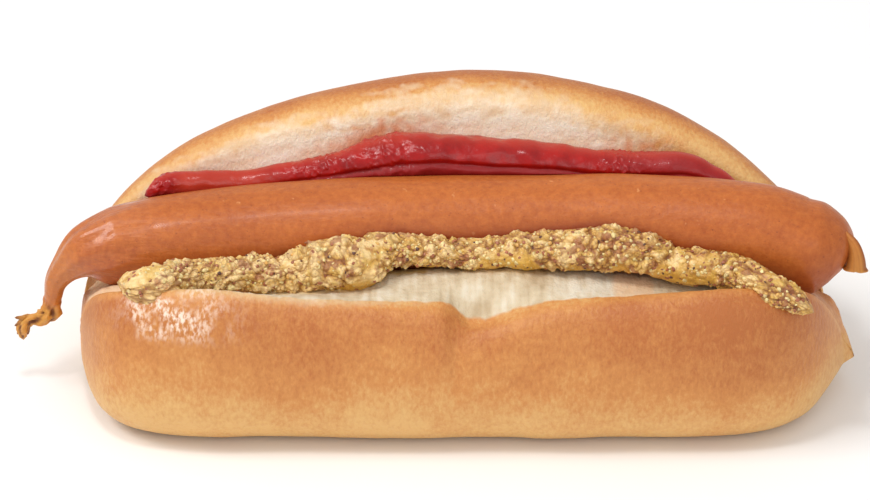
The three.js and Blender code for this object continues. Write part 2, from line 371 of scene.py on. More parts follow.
def newMaterial(name, values):
    material = bpy.data.materials.new(name)
    material.use_nodes = True
    tree = material.node_tree
    shader = tree.nodes["Principled BSDF"]
    for key, value in values.items():
        shader.inputs[key].default_value = value
    return material, tree, shader


def noiseNode(tree, scale, detail=3.0, rough=0.55, stretch=(1, 1, 1)):
    place = addNode(tree, "ShaderNodeTexCoord")
    mapping = addNode(tree, "ShaderNodeMapping", {"Scale": stretch})
    tree.links.new(place.outputs["Object"], mapping.inputs["Vector"])
    made = addNode(tree, "ShaderNodeTexNoise", {"Scale": scale, "Detail": detail, "Roughness": rough})
    tree.links.new(mapping.outputs["Vector"], made.inputs["Vector"])
    return made.outputs["Fac"]


def mathNode(tree, operation, first, second, clamp=False):
    made = addNode(tree, "ShaderNodeMath", operation=operation, use_clamp=clamp)
    for socket, value in zip(made.inputs, (first, second)):
        if isinstance(value, (int, float)):
            socket.default_value = value
        else:
            tree.links.new(value, socket)
    return made.outputs[0]


def rampNode(tree, factor, stops):
    made = addNode(tree, "ShaderNodeValToRGB")
    ramp = made.color_ramp
    while len(ramp.elements) < len(stops):
        ramp.elements.new(0.5)
    for element, (position, colour) in zip(ramp.elements, stops):
        element.position = position
        element.color = colour
    tree.links.new(factor, made.inputs["Fac"])
    return made.outputs["Color"]


def mixColour(tree, factor, first, second):
    made = addNode(tree, "ShaderNodeMix", data_type="RGBA")
    tree.links.new(factor, made.inputs[0])
    for socket, value in ((made.inputs[6], first), (made.inputs[7], second)):
        if isinstance(value, tuple):
            socket.default_value = value
        else:
            tree.links.new(value, socket)
    return made.outputs[2]


def attributeNode(tree, name):
    return addNode(tree, "ShaderNodeAttribute", attribute_name=name).outputs["Fac"]


def spread(tree, value, low, high):
    made = addNode(tree, "ShaderNodeMapRange", {"From Min": low, "From Max": high})
    tree.links.new(value, made.inputs["Value"])
    return made.outputs["Result"]


def centred(tree, noisy, amount):
    # a noise that swings by amount round nothing
    return mathNode(tree, "MULTIPLY", mathNode(tree, "SUBTRACT", noisy, 0.5), amount)


def weighed(tree, first, firstShare, second, secondShare):
    part = mathNode(tree, "MULTIPLY", first, firstShare)
    return mathNode(tree, "ADD", part, mathNode(tree, "MULTIPLY", second, secondShare))


def bumpNode(tree, height, strength, distance, before=None):
    made = addNode(tree, "ShaderNodeBump", {"Strength": strength, "Distance": distance})
    tree.links.new(height, made.inputs["Height"])
    if before is not None:
        tree.links.new(before, made.inputs["Normal"])
    return made.outputs["Normal"]


bunLook = {
    "crustPale": tint(224, 178, 112), "crustMid": tint(206, 138, 72), "crustDeep": tint(180, 103, 46),
    "crumbLight": tint(230, 220, 200), "crumbMid": tint(212, 193, 162), "crumbDark": tint(188, 164, 130),
    # the lid's crumb colours below are paler than the cut face's: painted light that lifts the shade on the
    # lid's face
    "paintedLightLidPale": tint(250, 240, 222), "paintedLightLidMid": tint(241, 222, 195), "paintedLightLidDark": tint(224, 192, 154),
    "yellowStain": tint(222, 182, 96), "redStain": tint(214, 118, 62), "peachAndPaintedLight": tint(236, 194, 150),
    # the first colour below is a painted highlight, speckled over the crust's glossy patch
    "glossAndPaintedHighlight": tint(250, 226, 206), "crustRough": 0.46, "crumbRough": 0.85, "shineRough": -0.14,
    "broad": 0.8, "patchy": 0.4, "leathery": 0.9, "grain": 0.4,  # how strongly the noises mottle it
}


def bunMaterial():
    look = bunLook
    material, tree, shader = newMaterial("bunBread", {
        "Subsurface Weight": 0.1, "Subsurface Radius": (1.0, 0.6, 0.35), "Subsurface Scale": 0.002,
        "Specular IOR Level": 0.45,
    })
    crumb = attributeNode(tree, "crumb")
    bake = attributeNode(tree, "bake")
    glossAndPaintedHighlight = attributeNode(tree, "glossAndPaintedHighlight")
    broad = noiseNode(tree, 50, 4, 0.6)
    patchy = noiseNode(tree, 190, 4, 0.6)
    fine = noiseNode(tree, 800, 3, 0.6)
    tiny = noiseNode(tree, 1700, 2, 0.6)
    leathery = noiseNode(tree, 1000, 3, 0.65, (1.3, 1, 0.7))
    tone = bake
    for noisy, name in ((broad, "broad"), (patchy, "patchy"), (leathery, "leathery")):
        tone = mathNode(tree, "ADD", tone, centred(tree, noisy, look[name]))
    tone = mathNode(tree, "ADD", tone, 0.0, True)
    crustStops = [(0.0, look["crustPale"]), (0.5, look["crustMid"]), (1.0, look["crustDeep"])]
    crust = rampNode(tree, tone, crustStops)
    dabs = noiseNode(tree, 900, 3, 0.6, (1.5, 1, 0.7))
    # pale speckles in the glossy patch: a painted highlight
    paintedHighlightSpeckle = mathNode(tree, "MULTIPLY", glossAndPaintedHighlight, spread(tree, dabs, 0.42, 0.6))
    crust = mixColour(tree, paintedHighlightSpeckle, crust, look["glossAndPaintedHighlight"])
    grain = mathNode(tree, "ADD", attributeNode(tree, "tone"), centred(tree, fine, look["grain"]))
    cutStops = [(0.0, look["crumbDark"]), (0.45, look["crumbMid"]), (1.0, look["crumbLight"])]
    paintedLightLidStops = [(0.0, look["paintedLightLidDark"]), (0.45, look["paintedLightLidMid"]), (1.0, look["paintedLightLidPale"])]
    cutColour, paintedLightLidColour = rampNode(tree, grain, cutStops), rampNode(tree, grain, paintedLightLidStops)
    # the lid's crumb takes the paler copy of the colours: painted light
    soft = mixColour(tree, attributeNode(tree, "lid"), cutColour, paintedLightLidColour)
    edge = mathNode(tree, "ADD", crumb, centred(tree, fine, look["grain"]))
    edge = spread(tree, edge, 0.1, 0.9)
    colour = mixColour(tree, edge, crust, soft)
    colour = mixColour(tree, attributeNode(tree, "peachAndPaintedLight"), colour, look["peachAndPaintedLight"])
    colour = mixColour(tree, attributeNode(tree, "mustardStain"), colour, look["yellowStain"])
    colour = mixColour(tree, attributeNode(tree, "ketchupStain"), colour, look["redStain"])
    tree.links.new(colour, shader.inputs["Base Color"])
    rough = mathNode(tree, "MULTIPLY", edge, look["crumbRough"] - look["crustRough"])
    rough = mathNode(tree, "ADD", rough, look["crustRough"])
    rough = mathNode(tree, "ADD", rough, mathNode(tree, "MULTIPLY", glossAndPaintedHighlight, look["shineRough"]))
    tree.links.new(rough, shader.inputs["Roughness"])
    leather = mathNode(tree, "ADD", mathNode(tree, "MULTIPLY", tiny, 0.5), leathery)
    skin = bumpNode(tree, leather, 0.5, 0.0005)
    pores = mathNode(tree, "MULTIPLY", fine, edge)
    tree.links.new(bumpNode(tree, pores, 0.3, 0.0005, skin), shader.inputs["Normal"])
    return material


sausageLook = {
    "light": tint(194, 108, 46), "deep": tint(168, 84, 34), "casing": tint(204, 142, 62),
    "casingShadeAndTip": tint(112, 60, 24), "fleck": tint(140, 66, 34), "under": tint(140, 58, 26),
    "paintedBlisterHighlight": tint(234, 164, 106), "coat": 0.05, "tautCoat": 0.45,
}


def sausageMaterial():
    look = sausageLook
    material, tree, shader = newMaterial("sausageSkin", {
        "Roughness": 0.42, "Subsurface Weight": 0.1, "Subsurface Radius": (1.0, 0.4, 0.2),
        "Subsurface Scale": 0.002, "Specular IOR Level": 0.32, "Coat Roughness": 0.14,
    })
    broad = noiseNode(tree, 55, 4, 0.6, (0.5, 1, 1))
    fine = noiseNode(tree, 800, 4, 0.7, (0.9, 1, 0.6))
    tone = weighed(tree, broad, 0.45, fine, 0.55)
    colour = rampNode(tree, spread(tree, tone, 0.38, 0.62), [(0.0, look["deep"]), (1.0, look["light"])])
    flecks = noiseNode(tree, 1500, 2, 0.5)
    colour = mixColour(tree, spread(tree, flecks, 0.66, 0.8), colour, look["fleck"])
    # sparse pale flecks where small blisters would catch the light: painted highlights
    dots = noiseNode(tree, 520, 2, 0.5, (1, 1, 0.5))
    paintedBlisterHighlights = mathNode(tree, "MULTIPLY", spread(tree, dots, 0.72, 0.78), 0.5)
    colour = mixColour(tree, paintedBlisterHighlights, colour, look["paintedBlisterHighlight"])
    # the underside and the line where the mustard rests are darkened: painted shade
    colour = mixColour(tree, attributeNode(tree, "under"), colour, look["under"])
    # the casing is darkened in the tail's twist valleys and along the knot's edges and ribs, painted shade,
    # and towards the shreds' tips
    casing = mixColour(tree, attributeNode(tree, "creaseShadeAndDarkTips"), look["casing"], look["casingShadeAndTip"])
    colour = mixColour(tree, attributeNode(tree, "casing"), colour, casing)
    tree.links.new(colour, shader.inputs["Base Color"])
    taut = attributeNode(tree, "taut")
    coat = mathNode(tree, "ADD", mathNode(tree, "MULTIPLY", taut, look["tautCoat"]), look["coat"])
    tree.links.new(coat, shader.inputs["Coat Weight"])
    wrinkle = noiseNode(tree, 380, 4, 0.65, (0.4, 1, 1))
    skin = bumpNode(tree, wrinkle, 0.4, 0.0006)
    streaks = mathNode(tree, "MULTIPLY", noiseNode(tree, 700, 2, 0.5, (0.12, 1, 1)), taut)
    skin = bumpNode(tree, streaks, 0.8, 0.0006, skin)
    tree.links.new(bumpNode(tree, fine, 0.35, 0.0003, skin), shader.inputs["Normal"])
    return material


mustardLook = {
    "paintedPitShade": tint(152, 92, 36), "paste": tint(218, 168, 84), "creamAndPaintedHighlight": tint(248, 214, 150),
    "runny": tint(224, 172, 62), "yellow": tint(226, 182, 82),
    "paleSeed": tint(240, 206, 142), "ochreSeed": tint(214, 162, 84), "brownHull": tint(160, 92, 56),
    "darkHull": tint(92, 50, 34), "paintedCreviceShade": tint(132, 74, 30), "hullPatch": tint(190, 124, 82),
}


def mustardMaterial():
    look = mustardLook
    material, tree, shader = newMaterial("mustardPaste", {
        "Roughness": 0.4, "Subsurface Weight": 0.2, "Subsurface Radius": (1.0, 0.7, 0.25),
        "Subsurface Scale": 0.0012, "Coat Weight": 0.15, "Coat Roughness": 0.2,
    })
    broad = noiseNode(tree, 150, 4, 0.6)
    fine = noiseNode(tree, 1100, 3, 0.65)
    tone = weighed(tree, broad, 0.35, fine, 0.35)
    # the tone rises with the paste's height: painted highlight on the lumps' tops, painted shade in the
    # hollows
    tone = mathNode(tree, "ADD", tone, mathNode(tree, "MULTIPLY", attributeNode(tree, "high"), 0.5))
    stops = [(0.0, look["paintedPitShade"]), (0.4, look["paste"]), (1.0, look["creamAndPaintedHighlight"])]
    colour = rampNode(tree, spread(tree, tone, 0.34, 0.8), stops)
    yellows = mathNode(tree, "MULTIPLY", spread(tree, noiseNode(tree, 270, 2, 0.5), 0.5, 0.6), 0.6)
    colour = mixColour(tree, yellows, colour, look["yellow"])
    patches = mathNode(tree, "MULTIPLY", spread(tree, noiseNode(tree, 350, 3, 0.65), 0.58, 0.66), 0.7)
    colour = mixColour(tree, patches, colour, look["hullPatch"])
    colour = mixColour(tree, attributeNode(tree, "hull"), colour, look["brownHull"])
    colour = mixColour(tree, attributeNode(tree, "runny"), colour, look["runny"])
    # painted shade in the paste's crevices
    paintedCreviceShade = mathNode(tree, "MULTIPLY", attributeNode(tree, "paintedCreviceShade"), 0.85)
    colour = mixColour(tree, paintedCreviceShade, colour, look["paintedCreviceShade"])
    tree.links.new(colour, shader.inputs["Base Color"])
    grit = noiseNode(tree, 1500, 3, 0.7)
    tree.links.new(bumpNode(tree, grit, 0.8, 0.0005), shader.inputs["Normal"])
    return material


def grainMaterial(name, colour, rough):
    material, tree, shader = newMaterial(name, {
        "Roughness": rough, "Subsurface Weight": 0.15, "Subsurface Radius": (1.0, 0.6, 0.3),
        "Subsurface Scale": 0.001, "Coat Weight": 0.3, "Coat Roughness": 0.15,
    })
    mottle = noiseNode(tree, 900, 3, 0.6)
    darker = tuple(c * 0.62 for c in colour[:3]) + (1.0,)
    lighter = tuple(min(1.0, c * 1.3) for c in colour[:3]) + (1.0,)
    skin = rampNode(tree, spread(tree, mottle, 0.3, 0.7), [(0.0, darker), (1.0, lighter)])
    # painted shade at each grain's foot
    foot = mathNode(tree, "MULTIPLY", attributeNode(tree, "foot"), 0.85)
    tree.links.new(mixColour(tree, foot, skin, mustardLook["paintedCreviceShade"]), shader.inputs["Base Color"])
    tree.links.new(bumpNode(tree, noiseNode(tree, 2200, 2, 0.5), 0.4, 0.0003), shader.inputs["Normal"])
    return material


ketchupLook = {
    "bright": tint(168, 14, 12), "deep": tint(138, 8, 11), "low": tint(144, 22, 24),
    "thin": tint(184, 58, 38), "rough": 0.28, "lowRough": 0.3,
}


def ketchupMaterial():
    look = ketchupLook
    material, tree, shader = newMaterial("ketchupSauce", {
        "Subsurface Weight": 0.1, "Subsurface Radius": (1.0, 0.2, 0.1), "Subsurface Scale": 0.0012,
        "Specular IOR Level": 0.3, "Coat Weight": 0.14, "Coat Roughness": 0.08,
    })
    low = attributeNode(tree, "low")
    broad = noiseNode(tree, 220, 4, 0.6)
    colour = rampNode(tree, spread(tree, broad, 0.35, 0.65), [(0.0, look["deep"]), (1.0, look["bright"])])
    # the lower face takes a duller, darker red: painted shade; the right end takes it too
    colour = mixColour(tree, low, colour, look["low"])
    colour = mixColour(tree, attributeNode(tree, "thin"), colour, look["thin"])
    tree.links.new(colour, shader.inputs["Base Color"])
    rough = mathNode(tree, "ADD", mathNode(tree, "MULTIPLY", low, look["lowRough"]), look["rough"])
    tree.links.new(rough, shader.inputs["Roughness"])
    tree.links.new(bumpNode(tree, noiseNode(tree, 800, 3, 0.6), 0.35, 0.0004), shader.inputs["Normal"])
    return material


bunMesh = {
    "along": 300, "across": 292,
    "crustSwell": 0.35, "crustDimple": 0.1, "wrinkle": 0.2, "crumbTear": 0.2, "crumbPore": 0.1,
    "bed": 0.1, "endCrowd": 0.4,
}
cutFront, cutBack = 8.3, 15.5  # places on the section where the cut face begins and ends
# golden fade at the lid's edge: x, place where it starts, place where it is full
lidFade = [(-77, 14.2, 15.6), (-60, 14.4, 15.9), (-40, 14.2, 15.8), (-15, 14.2, 15.9), (5, 14.4, 16.1),
           (25, 13.7, 15.9), (38, 12.5, 15.4), (55, 11.7, 14.9), (77, 11.0, 14.4)]


def cutFrontAt(x):
    wander = 0.1 * noiseAt(x, 0, 0, 3) + 0.06 * noiseAt(x, 9, 0, 1.1)
    return 8.08 + wander - 0.1 * bell(x - 6, 14) - 0.32 * bell(x + 34, 20)


def fadeAt(x):
    for a, b in zip(lidFade, lidFade[1:]):
        if x <= b[0]:
            share = smooth(x, a[0], b[0])
            return lerp(a[1], b[1], share), lerp(a[2], b[2], share)
    return lidFade[-1][1:]


def bunPlaces():
    # spreads the section's vertices by length, with more of them on the cut face
    controls = sectionControls(0)
    steps = 2600
    count = len(controls)
    sums = [0.0]
    last = sectionPoint(controls, 0)
    for k in range(1, steps + 1):
        place = count * k / steps
        here = sectionPoint(controls, place % count)
        weight = 1.5 if cutFront - 0.6 < place < cutBack + 0.6 else 1.0
        if here[1] < 2 or here[0] > 33:
            weight = 0.6
        sums.append(sums[-1] + weight * math.dist(here, last))
        last = here
    places = []
    k = 0
    for j in range(bunMesh["across"]):
        wanted = sums[-1] * j / bunMesh["across"]
        while sums[k + 1] < wanted:
            k += 1
        f = (wanted - sums[k]) / max(sums[k + 1] - sums[k], 1e-9)
        places.append(count * (k + f) / steps)
    return places


def stationShare(part):
    # rings crowd at the ends, where the bun closes
    warped = part + bunMesh["endCrowd"] * math.sin(2 * math.pi * part) / (2 * math.pi)
    return math.cos(math.pi * warped)


def bunRelief(x, y, z, place):
    # gives how far the surface stands out, how much is crumb, the crumb's tone, and how much is the lid's
    start, full = fadeAt(x)
    brushed = noise.noise(Vector((x / 7, y / 1.6, (z - 0.25 * x) / 1.6)))
    patch = 0.6 * noiseAt(x, y, z + 5, 11) + 0.7 * brushed + 0.4 * noiseAt(x, y, z, 1.4)
    leftFold = smooth(-x, 63, 66) * (1 - smooth(place, 8.4, 8.8))
    ends = max(smooth(abs(x), 74.5, 76), smooth(x, 60, 66), leftFold)
    golden = max(smooth(place + patch, start, full), ends)
    edge = cutFrontAt(x)
    worn = 0.45 * smooth(place, edge - 0.9, edge) * bell(x + 34, 24)
    inCrumb = max(worn, smooth(place, edge - 0.05, edge + 0.14)) * (1 - golden)
    cut = smooth(place, edge - 0.1, edge + 0.3) * (1 - smooth(place, 14.9, 15.6))
    swell = bunMesh["crustSwell"] * noiseAt(x, y, z, 17) + bunMesh["crustDimple"] * noiseAt(x, y, z + 40, 5)
    onFront = smooth(-y, 20, 26) * smooth(z, 16, 27)
    ridges = noise.noise(Vector((x / 2.4, y / 30, z / 16))) * bell(x + 22, 24)
    crust = swell + bunMesh["wrinkle"] * ridges * onFront
    wide = noise.noise(Vector((x / 1.7, y / 7, z / 7)))
    upright = 0.6 * wide + 0.7 * noise.noise(Vector((x / 0.8, y / 5, z / 5)))
    onLid = smooth(y, 6, 11)
    streak = lerp(upright, brushed, onLid)
    pore = noiseAt(x + 70, y, z, 1.5)
    crumb = (bunMesh["crumbTear"] * streak + bunMesh["crumbPore"] * pore) * (1 - 0.75 * onLid) - 0.15
    tone = 0.5 + 0.5 * streak + 0.4 * noiseAt(x, y + 20, z, 7) + 0.15 * pore
    # on the lid the tone is raised, painted light, and falls towards the rim: partly the crumb turning
    # golden at the crust, partly painted shade that evens out the light on the lid's upper part
    tone += onLid * (0.15 - 0.55 * smooth(place, 13.8, 15.4))
    tone += (1 - onLid) * (0.3 * bell(x - 27, 8) - 0.2 * bell(x - 10, 12))
    return lerp(crust, crumb, cut), inCrumb, tone, onLid


def buildBun():
    places = bunPlaces()
    along, across = bunMesh["along"], bunMesh["across"]
    stations = [BunStation(bunForm["halfLength"] * stationShare(i / along)) for i in range(along + 1)]
    names = ["place", "crumb", "tone", "bake", "mustardStain", "ketchupStain", "peachAndPaintedLight", "lid", "glossAndPaintedHighlight"]

    def place(i, j):
        where = places[j % across]
        return toFrame(*stations[i].point(where)), [where] + [0.0] * (len(names) - 1)

    bm = gridMesh(across, along, place, names)
    layers = [bm.verts.layers.float[name] for name in names]
    for vert in bm.verts:
        x, y, z = point = vert.co / mm - shift
        where = vert[layers[0]]
        relief, inCrumb, tone, onLid = bunRelief(x, y, z, where)
        moved = offSausage(point + vert.normal * relief, bunMesh["bed"])
        moved.z = max(0.0, moved.z)
        vert.co = toFrame(*moved)
        low = smooth(z, 3, 20)
        # the crust is painted paler along the lip's top, most left of the middle: partly a lighter bake at
        # the cut edge, partly a painted highlight where the lip's top faces the light
        paleLipAndHighlight = smooth(where, 6.9, 8.0) * (1 - smooth(where, 9, 9.5))
        ends = 1 + 0.35 * smooth(-x, 55, 77) + 0.35 * smooth(x, 10, 55)
        baked = 0.05 + 0.45 * low + 0.25 * smooth(z, 16, 30)
        onRim = smooth(where, 11.9, 12) * (1 - smooth(where, 16.6, 18.5))
        rimBake = (0.12 + 0.88 * smooth(where, 15.1, 16.3)) * (1 - 0.25 * smooth(abs(x), 25, 60))
        baked = lerp(baked * ends, rimBake, onRim)
        ketchupSmear = 0.2 + 0.7 * max(bell(x + 18, 12), 0.8 * bell(x - 34, 10))
        ketchupGap = gapTo(ketchupTable, moved) + 1.3 * noiseAt(x, y, z, 1.6)
        mustardSmear = within(x, -17.5, -15.5, -8, -6.5) * within(-y, 1, 4, 11, 12.4)
        mustardTouch = 1 - smooth(gapTo(mustardTable, moved), 0.1, 1.0)
        # a peach tint on the cut face near x 33, and at the left end a pale peach that also paints light
        # into the sausage's shade
        peachAndPaintedLight = max(within(x, 28.5, 30, 36.5, 38) * smooth(-y, 8, 12), 1.2 * smooth(-x, 62, 66))
        # the crust's glossy patch at the upper left: lower roughness, and a painted highlight in its colour
        glossAndPaintedHighlightPatch = max(bell(x + 57, 8.5), 0.8 * bell(x + 64.6, 2.5)) * smooth(noiseAt(x, y, z, 4), -0.5, 0.1)
        vert[layers[1]] = inCrumb
        vert[layers[2]] = tone
        vert[layers[3]] = baked * (1 - (0.4 + 0.5 * bell(x + 36, 24)) * paleLipAndHighlight)
        vert[layers[4]] = max(0.8 * mustardSmear, 0.45 * mustardTouch) * inCrumb
        vert[layers[5]] = ketchupSmear * (1 - smooth(ketchupGap, 2.2, 5.2)) * onLid
        vert[layers[6]] = 0.65 * peachAndPaintedLight * inCrumb
        vert[layers[7]] = onLid
        vert[layers[8]] = 0.95 * glossAndPaintedHighlightPatch * smooth(z, 25, 28.5) * smooth(-y, 21, 24) * (1 - inCrumb)
    bm.verts.layers.float.remove(layers[0])
    piece = finishPiece(bm, "bunBread", bunMaterial())
    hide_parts("bun")
    return piece


sausageMesh = {"along": 420, "around": 120, "swell": 0.22, "pleat": 0.2, "twist": 0.3, "crumple": 0.5,
               "shoulder": 1.0}
sausageLayers = ["casing", "creaseShadeAndDarkTips", "under", "taut"]
# x and z of the tips of the casing's shreds
frayTips = [(-90.1, 15.3), (-90.2, 13.4), (-89.8, 11.5), (-88.9, 10.4), (-87.7, 11.4)]
frontAngle = 2.6  # radians round a bead, towards the open front and up


def beadGrid(bead, along, around, reach, layers=(), crowd=0.0, capLength=0.8):
    # reach(share, angle, radius) gives the surface's distance from the centre line and each layer's value;
    # crowd draws the points together on the side that faces the front; capLength, in radii, is how far
    # the ends stand out
    shares = [bead.shareAt(i / along) for i in range(along + 1)]
    frames = [bead.frameAt(share) for share in shares]
    centres = [bead.centreAt(share) for share in shares]
    radii = [bead.radiusAt(share) for share in shares]

    def place(i, j):
        angle = 2 * math.pi * (j % around) / around
        angle -= crowd * math.sin(angle - frontAngle)
        ahead, side, up = frames[i]
        distance, *values = reach(shares[i], angle, radii[i])
        if i in (0, along):
            cap = radii[i] * (-capLength if i == 0 else capLength)
            point = centres[i] + ahead * cap
        else:
            point = centres[i] + (side * math.cos(angle) + up * math.sin(angle)) * distance
        return toFrame(*point), values

    return gridMesh(around, along, place, list(layers))


def sausageReach(share, angle, radius):
    centre = sausageBead.centreAt(share)
    body = smooth(radius, 3, 9)
    x = centre.x
    y, z = radius * math.cos(angle), radius * math.sin(angle)
    swell = sausageMesh["swell"] * noiseAt(x, y, z, 14) * body
    onTail = smooth(-centre.z, -21, -17.5) * smooth(-x, 76, 80)
    nearTail = smooth(-x, 60, 74) * (1 - onTail)
    pleat = sausageMesh["pleat"] * math.sin(9 * angle + 0.3 * x + 2 * noiseAt(x, y, z, 6)) * nearTail
    curl = math.sin(3 * angle + 1.1 * centre.z + 0.9 * x) + 0.8 * noiseAt(x, y + 7, centre.z, 1.6)
    crumple = noiseAt(x + y, y + z, centre.z + z, 1.1)
    folds = (sausageMesh["twist"] * curl + sausageMesh["crumple"] * crumple) * onTail
    casing = max(smooth(-centre.z, -20.5, -17) * smooth(-x, 76, 80), 0.2 * smooth(-x, 75, 80))
    # painted shade on the front underside, and, with the gap to the mustard, along where it touches
    under = 0.5 * smooth(angle, 2.7, 3.6) * (1 - smooth(angle, 5, 5.6)) * body
    surface = Vector((x, centre.y + y, centre.z + z))
    gap = gapTo(mustardTable, surface)
    shade = max(under, (0.5 * (1 - smooth(gap, 0.1, 1.3)) + 0.35 * (1 - smooth(gap, 0.5, 3.5))) * body)
    # painted shade in the valleys of the twisted tail
    creaseShadeAndDarkTips = smooth(-curl - 1.2 * crumple, -0.1, 1.1) * onTail
    shoulder = sausageMesh["shoulder"] * smooth(x, 58, 70) * max(0, math.cos(angle - 1.05)) * body
    reach = radius + swell + pleat * smooth(radius, 1.5, 4) + folds * radius * 0.7 - shoulder
    return max(0.05, reach), casing, creaseShadeAndDarkTips, shade, smooth(-x, 58, 68) * (1 - onTail)


def buildShred(x, z):
    # one shred of the casing's frayed tip
    root = (-87.2, -2.0, 14.9)
    middle = ((x + root[0]) / 2 - 0.2, root[1] - 0.3, (z + root[2]) / 2 + 0.3)
    path = [root + (0.75,), middle + (0.6,), (x, root[1], z, 0.22)]
    shred = Bead(path, 60)

    def shredReach(share, angle, radius):
        flat = 1 / math.hypot(math.cos(angle) / 0.55, math.sin(angle))
        ragged = 1 + 0.35 * noiseAt(x + 4 * share, angle, z, 0.9)
        return radius * flat * ragged, 1.0, 0.25 + 0.65 * smooth(share, 0.3, 1), 0.0, 0.0

    return beadGrid(shred, 14, 12, shredReach, sausageLayers)


def buildSausage():
    bm = beadGrid(sausageBead, sausageMesh["along"], sausageMesh["around"], sausageReach, sausageLayers)
    skin = sausageMaterial()
    piece = finishPiece(bm, "sausageBody", skin)
    for k, (x, z) in enumerate(frayTips):
        finishPiece(buildShred(x, z), "sausageShred%d" % (k + 1), skin)
    knotBead = Bead(knotPath, 200)

    def knotReach(share, angle, radius):
        flat = 1 / math.hypot(math.cos(angle) / 0.6, math.sin(angle))
        ribs = math.sin(7 * angle + 3 * share)
        rightEdge, leftEdge = smooth(math.sin(angle), 0.7, 1), smooth(-math.sin(angle), 0.6, 1)
        hem = smooth(share, 0.86, 0.97)
        flare = 1 + 0.5 * smooth(share, 0.75, 1) * abs(math.sin(angle))
        # painted shade along the knot's folded edges and between its ribs
        creaseShadeAndDarkTips = max(0.85 * rightEdge, 0.7 * leftEdge, 0.2 * smooth(ribs, 0.2, 1)) * (1 - hem)
        return radius * flat * flare * (1 + 0.03 * ribs), 0.4 + 0.4 * share + 0.2 * hem, creaseShadeAndDarkTips, 0.0, 0.0

    knot = beadGrid(knotBead, 48, 48, knotReach, sausageLayers, 0.0, 0.1)
    finishPiece(knot, "sausageKnot", skin)
    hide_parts("sausage")
    return piece


mustardMesh = {
    "along": 760, "around": 124, "crowd": 0.45, "swell": 0.08, "lump": 0.22, "lumpSize": 1.5,
    "crumble": [(3.1, 1.3), (1.5, 0.95), (0.75, 0.45)], "inset": 0.3, "hullShare": 0.05, "hullCrowd": 0.2,
    "stepAt": -30.6, "stepHeight": 1.3, "dripAt": -62.6, "dripReach": 0.5,
}
mustardLayers = ["paintedCreviceShade", "high", "hull", "runny"]
mustardGrains = [
    # name, count, radii in mm, flatness, how deep they sink, colour, roughness
    ("mustardPaleSeeds", 430, (0.32, 0.68), 0.85, (0.5, 1.0), mustardLook["paleSeed"], 0.4),
    ("mustardOchreSeeds", 300, (0.3, 0.6), 0.85, (0.5, 1.0), mustardLook["ochreSeed"], 0.42),
    ("mustardBrownHulls", 330, (0.28, 0.6), 0.4, (0.3, 0.8), mustardLook["brownHull"], 0.42),
    ("mustardDarkHulls", 80, (0.22, 0.45), 0.5, (0.3, 0.8), mustardLook["darkHull"], 0.45),
]


def mustardReach(share, angle, radius):
    # gives the paste's surface, crumbly with crushed seed, then the painted shade in its crevices, its
    # height, the hulls in it and its runny spots
    x = mustardBead.centreAt(share).x
    y, z = radius * math.cos(angle), radius * math.sin(angle)
    m = mustardMesh
    broad = radius * m["swell"] * (noiseAt(x, y, z, 5) * 1.6 + 0.6 * noiseAt(x + 50, y, z, 9))
    here = Vector((x, y + 30, z))
    distances, centres = noise.voronoi((here + 0.7 * noise.noise_vector(here / 1.5)) / m["lumpSize"])
    runny = 0.75 * smooth(noiseAt(x + 11, y, z, 6), 0.08, 0.36)
    rough = m["lump"] * (1 - (distances[0] / 0.7) ** 2)
    # darker along the cracks between lumps and along the folds: painted shade
    paintedCreviceShade = 0.5 * (1 - smooth(distances[1] - distances[0], 0.02, 0.2))
    for k, (size, depth) in enumerate(m["crumble"]):
        fold = abs(noiseAt(x + 17 * k, y, z + 40, size))
        rough += depth * (fold - 0.22)
        paintedCreviceShade = max(paintedCreviceShade, (0.9 - 0.2 * k) * (1 - smooth(fold, 0, 0.12)))
    over = max(0, math.sin(angle - 0.5))
    pastStep = smooth(x, m["stepAt"] - 0.5, m["stepAt"] + 0.5)
    swollen = pastStep * (1 - smooth(x, -24, -12))
    sunken = 0.6 * smooth(x, -40, -34) * (1 - pastStep)
    step = m["stepHeight"] * over * (swollen - sunken)
    drip = m["dripReach"] * bell(x - m["dripAt"], 2.6) * bell(angle - 3.7, 0.7)
    relief = (rough * (1 - runny) - m["inset"]) * smooth(radius, 0.6, 2)
    seed = math.sin(centres[0].x * 12.9 + centres[0].y * 78.2 + centres[0].z * 37.7) * 437.5
    hullShare = m["hullShare"] + m["hullCrowd"] * bell(x - 27, 12)
    hull = 0.75 if seed - math.floor(seed) < hullShare else 0.0
    paler = 0.2 * smooth(-x, 25, 34) - 0.2 * smooth(x, 14, 24)
    # how high the paste stands, paler to the left and darker to the right; its colour takes painted light
    # and shade from this
    high = min(1, max(0, 0.5 + 0.9 * rough + paler))
    reach = max(0.1, radius + broad + relief + step + drip)
    return reach, paintedCreviceShade * (1 - runny), high, hull * (1 - runny), runny * smooth(angle, 2.4, 3.4)


def buildMustard():
    m = mustardMesh
    bm = beadGrid(mustardBead, m["along"], m["around"], mustardReach, mustardLayers, m["crowd"])
    for vert in bm.verts:
        vert.co = toFrame(*offSausage(vert.co / mm - shift, 0.02))
    piece = finishPiece(bm, "mustardPaste", mustardMaterial())
    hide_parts("mustard")
    for kind in mustardGrains:
        buildGrains(*kind)
    return piece


